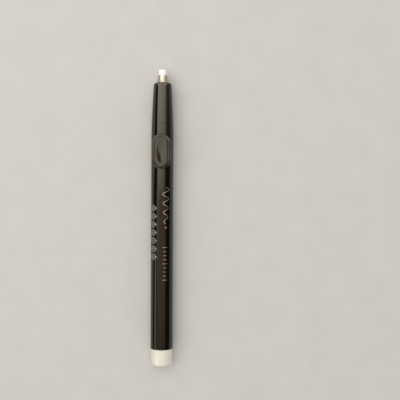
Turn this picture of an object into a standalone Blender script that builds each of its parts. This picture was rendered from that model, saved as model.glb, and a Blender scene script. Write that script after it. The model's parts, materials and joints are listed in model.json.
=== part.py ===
"""Battery-powered eraser pen.

A small motor in the nose turns a metal chuck that holds a rod of white eraser. Two AAA cells lie end
to end in the barrel, and a screw cap at the tail carries the spring that presses them forward.
An oval button on the barrel pushes a leaf contact down to start the motor.

The pen is modelled standing on its tail cap: heights run up local +Z from the flat tail face to the
eraser's tip, and the button faces local -Y. An empty lays the finished pen down, so that in the world
the tip points along +Y, the button faces +Z and the barrel rests on the plane Z = 0.
"""

import math

import bmesh
import bpy
from mathutils import Matrix

# ---- Driving dimensions, in metres -------------------------------------------------------------

LENGTH = 0.1762  # tail face to eraser tip
BARREL_RADIUS = 0.0067
REFILL_RADIUS = 0.0024  # a 4.8 mm eraser rod
REFILL_LENGTH = 0.0235
CELL_RADIUS = 0.00515  # AAA
CELL_LENGTH = 0.0445
CELL_DROP = 0.00015  # the cells lie low in their bore
SHEET = 0.0003  # thickness of every contact strip
GAP = 0.0003  # between pieces that touch
FINE_GAP = 0.00015

ROUND = 32  # sides of an outer turned piece
SMALL_ROUND = 24  # sides of a small or hidden one

# Heights above the tail face
CAP_TOP = 0.0101  # where the black barrel starts
SEAM = 0.1437  # joint between barrel and nose cone
NOSE_FACE = 0.1686
CHUCK_MOUTH = 0.1729
TAPER_START = 0.1372  # the barrel narrows from here to the nose
BUTTON_HEIGHT = 0.1273  # centre of the button
MOTOR_BACK = 0.1319  # open end of the motor's can
MOTOR_FRONT = 0.1469
BULKHEAD_BACK = 0.1100  # face of the wall that the cells push against
BULKHEAD_FRONT = 0.1120

# Nose cone
NOSE_RADIUS = 0.0053
NOSE_RIM = NOSE_FACE - 0.0010  # the domed front starts here
TAPER_POWER = 1.35
NOSE_HOLE = 0.00315
BUSH_SEAT_RADIUS = 0.00395
BUSH_LENGTH = 0.0030
BUSH_SEAT_TOP = NOSE_FACE - 0.0013
BUSH_LIP = 0.0002  # the bush stands this far out of the nose
NOSE_SPIGOT_RADIUS = 0.00575
NOSE_SPIGOT_END = SEAM - 0.0035

# Bores of the barrel
SOCKET_RADIUS = 0.00585  # takes the nose cone's spigot
MOTOR_BORE = 0.0052
CELL_BORE = 0.00545
TAIL_BORE = 0.0055

# Thread between barrel and tail cap
THREAD_PITCH = 0.0020
THREAD_DATUM = 0.0118
THREAD_TURNS = 2.5
SPIGOT_RADIUS = 0.0053
SPIGOT_TOP = 0.0186
CAP_RADIUS = 0.00635

# Button and its bezel. "up" is the distance from the pen's axis towards the button's side.
BUTTON_WIDTH = 0.0076
BUTTON_LENGTH = 0.0182
BUTTON_UP = 0.0077  # top face
BUTTON_UNDER = 0.0059
DISH_WIDTH = 0.0056  # of the thumb's hollow in the button
DISH_LENGTH = 0.0150
DISH_DEPTH = 0.0003
BEZEL_WIDTH = 0.0108
BEZEL_LENGTH = 0.0203
BEZEL_UP = 0.0074
BEZEL_WALL = 0.0004
BEZEL_WALL_FOOT = 0.0032
BUTTON_GAP = 0.0002

# Switch
LEAF_PIVOT = 0.1126  # height of the leaf's root
LEAF_UP = 0.00315
LEAF_ARM = 0.0090  # from the root to the plunger
PLUNGER_HEIGHT = LEAF_PIVOT + LEAF_ARM
PLATFORM_UP = 0.0012

# Chuck and motor
CHUCK_RADIUS = 0.00265
CHUCK_BORE = 0.00243
CHUCK_BACK = 0.1496
SLIT_TURN = math.radians(-41.5)  # brings the chuck's slit up from the side
SHAFT_RADIUS = 0.00075
SHAFT_BORE = 0.00078
BUSH_BORE = 0.00080
CAN_RADIUS = 0.0050
CAN_WALL = 0.00035
CAN_FRONT_WALL = 0.0005
BOSS_RADIUS = 0.0017
BOSS_BORE = 0.0014
BOSS_TOP = 0.1481
MOUNT_BACK = 0.1470
MOUNT_FRONT = 0.1480
SCREW_OFFSET = 0.0033
CORE_MIDDLE = 0.1407
CORE_LENGTH = 0.0070
CORE_RADIUS = 0.00355
POLES = 3
BRUSH_BAR = 0.1327  # height of the brush's radial bar
TERMINAL_X = 0.0032
TERMINAL_END = 0.1290

AXIS_HEIGHT = BARREL_RADIUS * math.cos(math.pi / ROUND)  # a flat of the faceted barrel lies at Z = 0
FRONT_VIEW = (math.radians(90), 0, 0)  # an outline's x, y become the pen's x, height
SIDE_VIEW = Matrix(((0, 0, -1), (-1, 0, 0), (0, 1, 0))).to_euler()  # its x, y become up, height
LEVEL = (0, 0, 0)


# ---- Scene, collections, materials -------------------------------------------------------------


def clear_scene():
    for obj in list(bpy.data.objects):
        bpy.data.objects.remove(obj)


def new_collection(name):
    made = bpy.data.collections.new(name)
    bpy.context.scene.collection.children.link(made)
    return made


def material(name, colour, roughness, metallic=0.0):
    made = bpy.data.materials.new(name)
    made.use_nodes = True
    shader = made.node_tree.nodes["Principled BSDF"]
    shader.inputs["Base Color"].default_value = (*colour, 1.0)
    shader.inputs["Roughness"].default_value = roughness
    shader.inputs["Metallic"].default_value = metallic
    return made


clear_scene()
PEN = new_collection("electric_eraser")
HELPERS = new_collection("helpers")

BLACK = material("black_plastic", (0.006, 0.006, 0.005), 0.18)
IVORY = material("ivory_plastic", (0.74, 0.71, 0.63), 0.35)
VINYL = material("white_eraser", (0.90, 0.89, 0.86), 0.75)
NICKEL_PLATE = material("nickel_plated_brass", (0.43, 0.40, 0.34), 0.4, 1.0)
BRASS = material("brass", (0.70, 0.50, 0.22), 0.30, 1.0)
STEEL = material("steel", (0.56, 0.57, 0.58), 0.30, 1.0)
NICKEL = material("nickel_strip", (0.66, 0.64, 0.58), 0.28, 1.0)
COPPER = material("enamelled_copper", (0.62, 0.27, 0.12), 0.35, 1.0)
FERRITE = material("ferrite", (0.07, 0.07, 0.08), 0.70)
NYLON = material("nylon", (0.75, 0.74, 0.70), 0.50)
ACETAL = material("black_acetal", (0.03, 0.03, 0.03), 0.45)
CELL_WRAP = material("cell_wrap", (0.10, 0.14, 0.26), 0.35)
RED_WIRE = material("red_insulation", (0.55, 0.03, 0.02), 0.45)
BLACK_WIRE = material("black_insulation", (0.02, 0.02, 0.02), 0.45)

pen = bpy.data.objects.new("pen", None)
PEN.objects.link(pen)
pen.location = (0, -LENGTH / 2, AXIS_HEIGHT)
pen.rotation_euler = (math.radians(-90), 0, 0)


# ---- Tools -------------------------------------------------------------------------------------


def add(name, data, finish=None, location=LEVEL, rotation=LEVEL):
    """Places an object on the standing pen. With no finish it is a helper, used only in Booleans."""
    obj = bpy.data.objects.new(name, data)
    (PEN if finish else HELPERS).objects.link(obj)
    obj.parent = pen
    obj.location = location
    obj.rotation_euler = rotation
    if finish:
        data.materials.append(finish)
    else:
        obj.hide_render = True
        obj.display_type = "WIRE"
    return obj


def mesh_from(name, bm):
    data = bpy.data.meshes.new(name)
    bm.to_mesh(data)
    bm.free()
    return data


def turned(name, profile, finish=None, sides=ROUND, location=LEVEL):
    """Revolves a closed (radius, height) profile about the axis. Its outer side runs downwards."""
    phase = math.pi / sides  # puts a flat, not an edge, at the bottom of the lying pen
    points = [(r * math.cos(phase), r * math.sin(phase), h) for r, h in profile]
    edges = [(i, i + 1) for i in range(len(points) - 1)]
    if profile[0][0] > 0 or profile[-1][0] > 0:
        edges.append((len(points) - 1, 0))
    data = bpy.data.meshes.new(name)
    data.from_pydata(points, edges, [])
    obj = add(name, data, finish, location)
    screw = obj.modifiers.new("turn", "SCREW")
    screw.axis = "Z"
    screw.angle = 2 * math.pi
    screw.steps = screw.render_steps = sides
    screw.use_merge_vertices = True
    screw.merge_threshold = 0.000001
    screw.use_smooth_shade = False
    return obj


def box(name, low, high, finish=None):
    """A block between two corners of the standing pen's frame."""
    size = [b - a for a, b in zip(low, high)]
    middle = [(a + b) / 2 for a, b in zip(low, high)]
    bm = bmesh.new()
    bmesh.ops.create_cube(bm, size=1, matrix=Matrix.Diagonal((*size, 1)))
    return add(name, mesh_from(name, bm), finish, middle)


def rod(name, radius, length, finish=None, location=LEVEL, rotation=LEVEL, sides=SMALL_ROUND, tip=None):
    """A cylinder, or a cone if its upper radius, tip, is given."""
    bm = bmesh.new()
    upper = radius if tip is None else tip
    bmesh.ops.create_cone(bm, cap_ends=True, segments=sides, radius1=radius, radius2=upper, depth=length)
    return add(name, mesh_from(name, bm), finish, location, rotation)


def plate(name, loops, thickness, finish=None, location=LEVEL, rotation=LEVEL):
    """A flat outline, with any further loops as its holes, extruded both ways from its middle."""
    data = bpy.data.curves.new(name, "CURVE")
    data.dimensions = "2D"
    data.fill_mode = "BOTH"
    data.extrude = thickness / 2
    for loop in loops:
        spline = data.splines.new("POLY")
        spline.points.add(len(loop) - 1)
        for point, (x, y) in zip(spline.points, loop):
            point.co = (x, y, 0, 1)
        spline.use_cyclic_u = True
    return add(name, data, finish, location, rotation)


def as_mesh(obj):
    """The same shape as a closed mesh, for a piece that is cut, joined or bevelled."""
    bpy.context.view_layer.update()
    graph = bpy.context.evaluated_depsgraph_get()
    data = bpy.data.meshes.new_from_object(obj.evaluated_get(graph))
    bm = bmesh.new()
    bm.from_mesh(data)
    bmesh.ops.remove_doubles(bm, verts=bm.verts, dist=0.000001)
    bm.to_mesh(data)
    bm.free()
    name, location, rotation = obj.name, obj.location[:], obj.rotation_euler[:]
    finish = obj.data.materials[0] if obj.data.materials else None
    data.materials.clear()
    bpy.data.objects.remove(obj)
    return add(name, data, finish, location, rotation)


def combine(obj, other, operation):
    modifier = obj.modifiers.new(other.name, "BOOLEAN")
    modifier.operation = operation
    modifier.object = other
    modifier.solver = "EXACT"
    return obj


def cut(obj, *others):
    for other in others:
        combine(obj, other, "DIFFERENCE")
    return obj


def join(obj, *others):
    for other in others:
        combine(obj, other, "UNION")
    return obj


def bevel(obj, width, segments=2, angle=50):
    modifier = obj.modifiers.new("bevel", "BEVEL")
    modifier.width = width
    modifier.segments = segments
    modifier.limit_method = "ANGLE"
    modifier.angle_limit = math.radians(angle)
    return obj


def arc(radius, start, end, steps, centre=(0, 0)):
    """Points on an arc, with angles in degrees."""
    angles = [math.radians(start + (end - start) * i / steps) for i in range(steps + 1)]
    return [(centre[0] + radius * math.cos(a), centre[1] + radius * math.sin(a)) for a in angles]


def circle(radius, sides=SMALL_ROUND, centre=(0, 0)):
    return arc(radius, 0, 360, sides, centre)[:-1]


def stadium(width, length, steps=10):
    """A slot shape with its length along y."""
    r = width / 2
    straight = length / 2 - r
    return arc(r, 0, 180, steps, (0, straight)) + arc(r, 180, 360, steps, (0, -straight))


def wire(name, points, radius, finish, smooth_sides=2):
    """A round wire through points, each (x, up, height)."""
    data = bpy.data.curves.new(name, "CURVE")
    data.dimensions = "3D"
    data.bevel_depth = radius
    data.bevel_resolution = smooth_sides
    data.use_fill_caps = True
    spline = data.splines.new("POLY")
    spline.points.add(len(points) - 1)
    for point, (x, up, height) in zip(spline.points, points):
        point.co = (x, -up, height, 1)
    return add(name, data, finish)


def smooth_route(points, steps):
    """A Catmull-Rom curve through the points."""
    ends = [points[0], *points, points[-1]]
    route = []
    for a, b, c, d in zip(ends, ends[1:], ends[2:], ends[3:]):
        for i in range(steps):
            t = i / steps
            route.append(
                tuple(
                    0.5
                    * (
                        2 * q
                        + (r - p) * t
                        + (2 * p - 5 * q + 4 * r - s) * t**2
                        + (3 * q - p - 3 * r + s) * t**3
                    )
                    for p, q, r, s in zip(a, b, c, d)
                )
            )
    return [*route, points[-1]]


def helix(name, section, low, high, steps_a_turn=24):
    """A thread: a (radius, height offset) section swept up the right-hand thread from low to high."""
    turns = (high - low) / THREAD_PITCH
    steps = round(turns * steps_a_turn)
    bm = bmesh.new()
    rings = []
    for i in range(steps + 1):
        height = low + (high - low) * i / steps
        angle = 2 * math.pi * (height - THREAD_DATUM) / THREAD_PITCH
        rings.append(
            [bm.verts.new((r * math.cos(angle), r * math.sin(angle), height + h)) for r, h in section]
        )
    for lower, upper in zip(rings, rings[1:]):
        for i in range(len(section)):
            j = (i + 1) % len(section)
            bm.faces.new((lower[i], lower[j], upper[j], upper[i]))
    bm.faces.new(rings[0][::-1])
    bm.faces.new(rings[-1])
    bmesh.ops.recalc_face_normals(bm, faces=bm.faces)
    return add(name, mesh_from(name, bm))


def body_radius(height):
    """Outer radius of barrel and nose cone, which taper in one curve towards the nose."""
    share = max(0, (height - TAPER_START) / (NOSE_RIM - TAPER_START))
    return BARREL_RADIUS - (BARREL_RADIUS - NOSE_RADIUS) * share**TAPER_POWER


def taper(top, bottom, steps):
    heights = [top + (bottom - top) * i / steps for i in range(steps + 1)]
    return [(body_radius(h), h) for h in heights]


# ---- Housing -----------------------------------------------------------------------------------


def make_barrel():
    edge = 0.0004
    profile = [
        (SOCKET_RADIUS, SEAM - FINE_GAP),
        *taper(SEAM - FINE_GAP, TAPER_START, 3),
        (BARREL_RADIUS, CAP_TOP + edge),
        (BARREL_RADIUS - edge, CAP_TOP),
        (TAIL_BORE, CAP_TOP),
        (TAIL_BORE, 0.0190),
        (CELL_BORE, 0.0190),
        (CELL_BORE, BULKHEAD_FRONT + FINE_GAP),
        (MOTOR_BORE, BULKHEAD_FRONT + FINE_GAP),
        (MOTOR_BORE, NOSE_SPIGOT_END - FINE_GAP),
        (SOCKET_RADIUS, NOSE_SPIGOT_END - FINE_GAP),
    ]
    barrel = turned("barrel", profile, BLACK)
    window_width = BUTTON_WIDTH + 2 * (BUTTON_GAP + BEZEL_WALL + FINE_GAP)
    window_length = BUTTON_LENGTH + 2 * (BUTTON_GAP + BEZEL_WALL + FINE_GAP)
    depth = 0.0100
    window = plate(
        "window_cutter",
        [stadium(window_width, window_length)],
        depth,
        location=(0, -depth / 2, BUTTON_HEIGHT),
        rotation=FRONT_VIEW,
    )
    groove = box("strip_groove_cutter", (-0.0014, 0.0048, 0.0188), (0.0014, 0.00595, 0.1272))
    section = [(0.0052, -0.00075), (0.00595, -0.00042), (0.00595, 0.00042), (0.0052, 0.00075)]
    thread_top = THREAD_DATUM + THREAD_TURNS * THREAD_PITCH + 0.0004
    thread = helix("barrel_thread_cutter", section, CAP_TOP - 0.0012, thread_top)
    return cut(barrel, as_mesh(window), groove, thread)


def make_nose_cone():
    edge = 0.0005
    profile = [
        (NOSE_HOLE, NOSE_FACE),
        (NOSE_HOLE + 0.0005, NOSE_FACE),
        (NOSE_RADIUS - 0.0007, NOSE_FACE - 0.0005),
        (NOSE_RADIUS - 0.0002, NOSE_FACE - 0.0007),
        *taper(NOSE_RIM, SEAM, 7),
        (NOSE_SPIGOT_RADIUS, SEAM),
        (NOSE_SPIGOT_RADIUS, NOSE_SPIGOT_END + edge),
        (NOSE_SPIGOT_RADIUS - 0.0002, NOSE_SPIGOT_END),
        (0.0051, NOSE_SPIGOT_END),
        (0.0051, MOUNT_FRONT + FINE_GAP),
        (0.0045, MOUNT_FRONT + FINE_GAP),
        (0.0042, BUSH_SEAT_TOP - BUSH_LENGTH - 0.0012),
        (BUSH_SEAT_RADIUS, BUSH_SEAT_TOP - BUSH_LENGTH - 0.0006),
        (BUSH_SEAT_RADIUS, BUSH_SEAT_TOP),
        (NOSE_HOLE, BUSH_SEAT_TOP),
    ]
    return turned("nose_cone", profile, BLACK)


def make_nose_bush():
    """A flanged bush. Its collar lines the nose's hole and shows round the chuck."""
    shoulder = BUSH_SEAT_TOP - FINE_GAP
    top, bottom = NOSE_FACE + BUSH_LIP, shoulder - BUSH_LENGTH
    inner, collar, outer = CHUCK_RADIUS + 0.00007, NOSE_HOLE - 0.00005, BUSH_SEAT_RADIUS - 0.00005
    profile = [
        (inner, top),
        (collar, top),
        (collar, shoulder),
        (outer, shoulder),
        (outer, bottom),
        (inner, bottom),
    ]
    return turned("nose_bush", profile, NYLON)


def make_bezel():
    """An oval frame that sits on the barrel and lines its window."""
    hole_width, hole_length = BUTTON_WIDTH + 2 * BUTTON_GAP, BUTTON_LENGTH + 2 * BUTTON_GAP
    wall_width, wall_length = hole_width + 2 * BEZEL_WALL, hole_length + 2 * BEZEL_WALL

    def block(name, width, length, low, high, finish=None):
        place = (0, -(low + high) / 2, BUTTON_HEIGHT)
        return as_mesh(plate(name, [stadium(width, length)], high - low, finish, place, FRONT_VIEW))

    bezel = block("button_bezel", BEZEL_WIDTH, BEZEL_LENGTH, BEZEL_WALL_FOOT, BEZEL_UP, BLACK)
    bevel(bezel, 0.0005)
    on_barrel = rod(
        "bezel_saddle_cutter", BARREL_RADIUS + 0.00006, 0.04, location=(0, 0, BUTTON_HEIGHT), sides=ROUND
    )
    wall = block("bezel_wall", wall_width, wall_length, BEZEL_WALL_FOOT, BEZEL_UP - 0.0006)
    hole = block("bezel_hole_cutter", hole_width, hole_length, 0, 0.0100)
    inside = rod(
        "bezel_motor_cutter", MOTOR_BORE + 0.0001, 0.04, location=(0, 0, BUTTON_HEIGHT), sides=ROUND
    )
    cut(bezel, on_barrel)
    join(bezel, wall)
    return cut(bezel, hole, inside)


def make_button():
    """The pad, with a plunger for the leaf and two side clips that stop it lifting out."""
    middle = (BUTTON_UP + BUTTON_UNDER) / 2
    outline = [stadium(BUTTON_WIDTH, BUTTON_LENGTH)]
    place = (0, -middle, BUTTON_HEIGHT)
    button = as_mesh(plate("switch_button", outline, BUTTON_UP - BUTTON_UNDER, BLACK, place, FRONT_VIEW))
    bevel(button, 0.0004)

    half, above = DISH_WIDTH / 2, 0.0005
    hollow = [(half * share, DISH_DEPTH * (share**2 - 1)) for share in (1, 0.75, 0.5, 0.25, 0)]
    dish = turned("button_dish_cutter", [(0, above), (half, above), *hollow], sides=SMALL_ROUND)
    dish.location = (0, -BUTTON_UP, BUTTON_HEIGHT)
    dish.rotation_euler = FRONT_VIEW
    dish.scale = (1, DISH_LENGTH / DISH_WIDTH, 1)
    cut(button, dish)

    plunger_foot = LEAF_UP + SHEET / 2 + FINE_GAP
    plunger_top = BUTTON_UNDER + 0.0004
    plunger = rod(
        "button_plunger",
        0.0007,
        plunger_top - plunger_foot,
        location=(0, -(plunger_foot + plunger_top) / 2, PLUNGER_HEIGHT),
        rotation=FRONT_VIEW,
        sides=12,
        tip=0.0009,
    )
    join(button, plunger)
    for side, name in ((-1, "left"), (1, "right")):
        outline = [
            (0.00325, BUTTON_UNDER + 0.0004),
            (0.00325, 0.0023),
            (0.00400, 0.0023),
            (0.00435, 0.0028),
            (0.00435, 0.0030),
            (0.00375, 0.0030),
            (0.00375, BUTTON_UNDER + 0.0004),
        ]
        loop = [(side * x, up) for x, up in outline]
        clip = plate(
            f"button_clip_{name}",
            [loop],
            0.0032,
            location=(0, 0, 0.1267),
            rotation=(math.radians(180), 0, 0),
        )
        join(button, as_mesh(clip))
    return button


def make_switch_carrier():
    """The wall between cells and switch, with the platform that carries the contacts."""
    carrier = rod(
        "switch_carrier",
        0.0053,
        BULKHEAD_FRONT - BULKHEAD_BACK,
        ACETAL,
        (0, 0, (BULKHEAD_FRONT + BULKHEAD_BACK) / 2),
        sides=32,
    )
    platform = box("carrier_platform", (-0.0026, -PLATFORM_UP, 0.1115), (0.0026, 0.0010, 0.1232))
    leaf_seat = box("carrier_leaf_seat", (-0.0016, -0.00285, 0.1115), (0.0016, -0.0005, 0.1133))
    slot = box("carrier_slot_cutter", (-0.0012, -0.0039, 0.1090), (0.0012, -0.0033, 0.1130))
    join(carrier, platform, leaf_seat)
    return cut(carrier, slot)


def make_contacts():
    """Leaf, fixed contact, front battery contact and the strip back to the tail, all stamped sheet."""
    half = SHEET / 2
    tip = PLUNGER_HEIGHT - LEAF_PIVOT + 0.0010
    leaf = [(-half, -0.0003), (-half, tip - 0.0016), (-half - 0.0002, tip - 0.0010), (-half, tip - 0.0004)]
    leaf += [(-half, tip), (half, tip), (half, -0.0003)]
    plate("switch_leaf", [leaf], 0.0026, NICKEL, (0, -LEAF_UP, LEAF_PIVOT), SIDE_VIEW)

    base, top = PLATFORM_UP + FINE_GAP, PLATFORM_UP + FINE_GAP + SHEET
    rise = 0.0004  # of the bump that the leaf meets
    bump = PLUNGER_HEIGHT
    fixed = [(base, 0.1147), (base, bump + 0.0013), (top, bump + 0.0013), (top, bump + 0.0008)]
    fixed += [(top + rise, bump + 0.0003), (top + rise, bump - 0.0003), (top, bump - 0.0008), (top, 0.1147)]
    plate("switch_contact", [fixed], 0.0024, NICKEL, rotation=SIDE_VIEW)

    face = BULKHEAD_BACK - FINE_GAP - SHEET / 2
    contact = rod("battery_contact", 0.0032, SHEET, NICKEL, (0, 0, face))
    tab_low, tab_high = LEAF_UP + SHEET / 2 + FINE_GAP, LEAF_UP + SHEET * 1.5 + FINE_GAP
    bend = box("contact_bend", (-0.0010, -tab_high, face - half), (0.0010, -0.0025, face + half))
    tab = box("contact_tab", (-0.0010, -tab_high, face - half), (0.0010, -tab_low, 0.1132))
    join(contact, bend, tab)

    outer, inner = 0.0058, 0.0058 - SHEET
    strip = [(-outer, 0.0192), (-outer, 0.1262), (-inner, 0.1262), (-inner, 0.0192 + SHEET)]
    strip += [(-0.0047, 0.0192 + SHEET), (-0.0047, 0.0192)]
    plate("return_strip", [strip], 0.0024, NICKEL, rotation=SIDE_VIEW)


def make_cells():
    """Two AAA cells, both with their raised terminal towards the motor."""
    r, nub, crimp = CELL_RADIUS, 0.0019, 0.0006
    top, shoulder = CELL_LENGTH, CELL_LENGTH - 0.0009
    profile = [
        (0, top),
        (nub - 0.0002, top),
        (nub, top - 0.0002),
        (nub, shoulder - 0.0002),
        (r - 0.0012, shoulder - 0.0002),
        (r - 0.0009, shoulder),
        (r - 0.0003, shoulder),
        (r, shoulder - crimp),
        (r, crimp),
        (r - 0.0004, 0),
        (r - 0.0009, 0),
        (r - 0.0011, 0.0002),
        (0, 0.0002),
    ]
    for name, height in (("rear_cell", 0.0198), ("front_cell", 0.0198 + CELL_LENGTH + GAP)):
        turned(name, profile, CELL_WRAP, SMALL_ROUND, (0, CELL_DROP, height))


def make_leads():
    """Insulated wires from the motor's terminals to the switch and to the return strip."""
    radius = 0.0004
    red = [
        (0.0032, 0, 0.1286),
        (0.0031, 0, 0.1272),
        (0.0022, 0.0005, 0.1255),
        (0.0009, 0.0011, 0.1242),
        (0.0002, 0.0015, 0.1233),
    ]
    black = [
        (-0.0032, 0, 0.1286),
        (-0.0032, -0.0009, 0.1276),
        (-0.0025, -0.0028, 0.1262),
        (-0.0013, -0.0042, 0.1250),
        (-0.0003, -0.0048, 0.1236),
    ]
    wire("red_lead", smooth_route(red, 3), radius, RED_WIRE)
    wire("black_lead", smooth_route(black, 3), radius, BLACK_WIRE)


# ---- Tail cap ----------------------------------------------------------------------------------


def make_tail_cap():
    shoulder = CAP_TOP - FINE_GAP
    corner = 0.0016  # rounding at the tail face
    foot_radius = CAP_RADIUS - 0.0001
    rounding = arc(corner, 0, -90, 4, (foot_radius - corner, corner))
    profile = [
        (0.0046, SPIGOT_TOP),
        (SPIGOT_RADIUS - 0.0002, SPIGOT_TOP),
        (SPIGOT_RADIUS, SPIGOT_TOP - 0.0003),
        (SPIGOT_RADIUS, shoulder),
        (CAP_RADIUS - 0.0002, shoulder),
        (CAP_RADIUS, shoulder - 0.0002),
        *rounding,
        (0, 0),
        (0, 0.0018),
        (0.0036, 0.0018),
        (0.0036, 0.0090),
        (0.0046, 0.0090),
    ]
    cap = turned("tail_cap", profile, IVORY)
    section = [(0.0050, -0.00055), (0.00578, -0.00025), (0.00578, 0.00025), (0.0050, 0.00055)]
    thread = helix("cap_thread", section, THREAD_DATUM, THREAD_DATUM + THREAD_TURNS * THREAD_PITCH)
    return join(cap, thread)


def make_spring_seat():
    """A thin cup in the cap that holds the spring and carries its current to the return strip."""
    outer, inner, lip = 0.00445, 0.0042, 0.00515
    floor, top = 0.0090 + 0.0001, SPIGOT_TOP + FINE_GAP + 0.0003
    profile = [
        (inner, top),
        (lip, top),
        (lip, top - 0.00025),
        (outer, top - 0.00025),
        (outer, floor),
        (0, floor),
        (0, floor + 0.00025),
        (inner, floor + 0.00025),
    ]
    return turned("spring_seat", profile, NICKEL, sides=32)


def make_tail_spring():
    """A conical compression spring with a closed turn at each end."""
    radius, turns, steps_a_turn = 0.0003, 6.5, 12
    low, high = 0.0090 + 0.0001 + 0.00025 + FINE_GAP / 2 + radius, 0.0195 - radius
    wide, narrow = 0.0036, 0.0022
    flat = 1 / turns  # share of the spring that lies flat at each end
    steps = round(turns * steps_a_turn)
    points = []
    for i in range(steps + 1):
        t = i / steps
        rise = min(1, max(0, (t - flat) / (1 - 2 * flat)))
        lift = 0.0007 * (min(t, flat) / flat - 1 + max(0, t - 1 + flat) / flat)
        angle = 2 * math.pi * turns * t
        r = wide + (narrow - wide) * t
        height = low + 0.0007 + (high - low - 0.0014) * rise + lift
        points.append((r * math.cos(angle), r * math.sin(angle), height))
    return wire("tail_spring", points, radius, STEEL, smooth_sides=1)


# ---- Motor -------------------------------------------------------------------------------------


def make_motor_shell():
    wall = CAN_RADIUS - CAN_WALL
    profile = [
        (BOSS_BORE, BOSS_TOP),
        (BOSS_RADIUS, BOSS_TOP),
        (BOSS_RADIUS, MOTOR_FRONT),
        (CAN_RADIUS - 0.0004, MOTOR_FRONT),
        (CAN_RADIUS, MOTOR_FRONT - 0.0004),
        (CAN_RADIUS, MOTOR_BACK),
        (wall, MOTOR_BACK),
        (wall, MOTOR_FRONT - CAN_FRONT_WALL),
        (BOSS_BORE, MOTOR_FRONT - CAN_FRONT_WALL),
    ]
    can = turned("motor_can", profile, STEEL, sides=32)
    holes = [(SCREW_OFFSET, "right"), (-SCREW_OFFSET, "left")]
    for x, side in holes:
        cut(can, rod(f"can_hole_{side}", 0.0005, 0.002, location=(x, 0, MOTOR_FRONT), sides=12))

    mount = [circle(0.0050, 32), circle(0.0019)]
    mount += [circle(0.00055, 12, (x, 0)) for x, _ in holes]
    plate("motor_mount", mount, MOUNT_FRONT - MOUNT_BACK, NYLON, (0, 0, (MOUNT_FRONT + MOUNT_BACK) / 2))

    head_low, head_high, tip = MOUNT_FRONT + 0.00005, MOUNT_FRONT + 0.00075, MOTOR_FRONT - 0.0012
    screw = [(0, head_high), (0.0007, head_high), (0.0009, head_high - 0.0002), (0.0009, head_low)]
    screw += [(0.00045, head_low), (0.00045, tip), (0, tip)]
    for x, side in holes:
        made = turned(f"motor_screw_{side}", screw, STEEL, sides=12, location=(x, 0, 0))
        slot = box(
            f"screw_slot_{side}", (x - 0.0011, -0.00012, head_high - 0.0003), (x + 0.0011, 0.00012, 0.1500)
        )
        cut(made, slot)


def make_motor_end():
    plug, flange = CAN_RADIUS - CAN_WALL - 0.00005, CAN_RADIUS
    joint, back, front = MOTOR_BACK - 0.00005, MOTOR_BACK - 0.0011, MOTOR_BACK + 0.0007
    hole = 0.00134
    profile = [(hole, front), (plug, front), (plug, joint), (flange, joint), (flange, back), (hole, back)]
    end = turned("motor_end_cap", profile, ACETAL, sides=32)
    for side in (-1, 1):
        low = (side * TERMINAL_X - 0.0003, -0.0007, back - 0.001)
        high = (side * TERMINAL_X + 0.0003, 0.0007, front + 0.001)
        cut(end, box(f"terminal_slot_{side}", low, high))

    half = SHEET / 2
    brush = [
        (0.00145, BRUSH_BAR + 0.0024),
        (0.00145, BRUSH_BAR),
        (TERMINAL_X - half, BRUSH_BAR),
        (TERMINAL_X - half, TERMINAL_END),
        (TERMINAL_X + half, TERMINAL_END),
        (TERMINAL_X + half, BRUSH_BAR + SHEET),
        (0.00145 + SHEET, BRUSH_BAR + SHEET),
        (0.00145 + SHEET, BRUSH_BAR + 0.0024),
    ]
    for side, name in ((-1, "left"), (1, "right")):
        plate(f"brush_{name}", [[(side * x, h) for x, h in brush]], 0.0010, BRASS, rotation=FRONT_VIEW)


def make_bushes():
    for name, radius, low, high in (
        ("motor_front_bush", 0.00136, MOTOR_FRONT - 0.0006, BOSS_TOP - 0.0001),
        ("motor_rear_bush", 0.00130, MOTOR_BACK - 0.0009, MOTOR_BACK + 0.0005),
    ):
        turned(name, [(BUSH_BORE, high), (radius, high), (radius, low), (BUSH_BORE, low)], BRASS, SMALL_ROUND)


def make_magnets():
    inner, outer, reach = 0.00375, 0.00455, 62
    for name, middle in (("magnet_upper", -90), ("magnet_lower", 90)):
        loop = arc(outer, middle - reach, middle + reach, 14) + arc(inner, middle + reach, middle - reach, 14)
        plate(name, [loop], 0.0090, FERRITE, (0, 0, CORE_MIDDLE))


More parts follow.
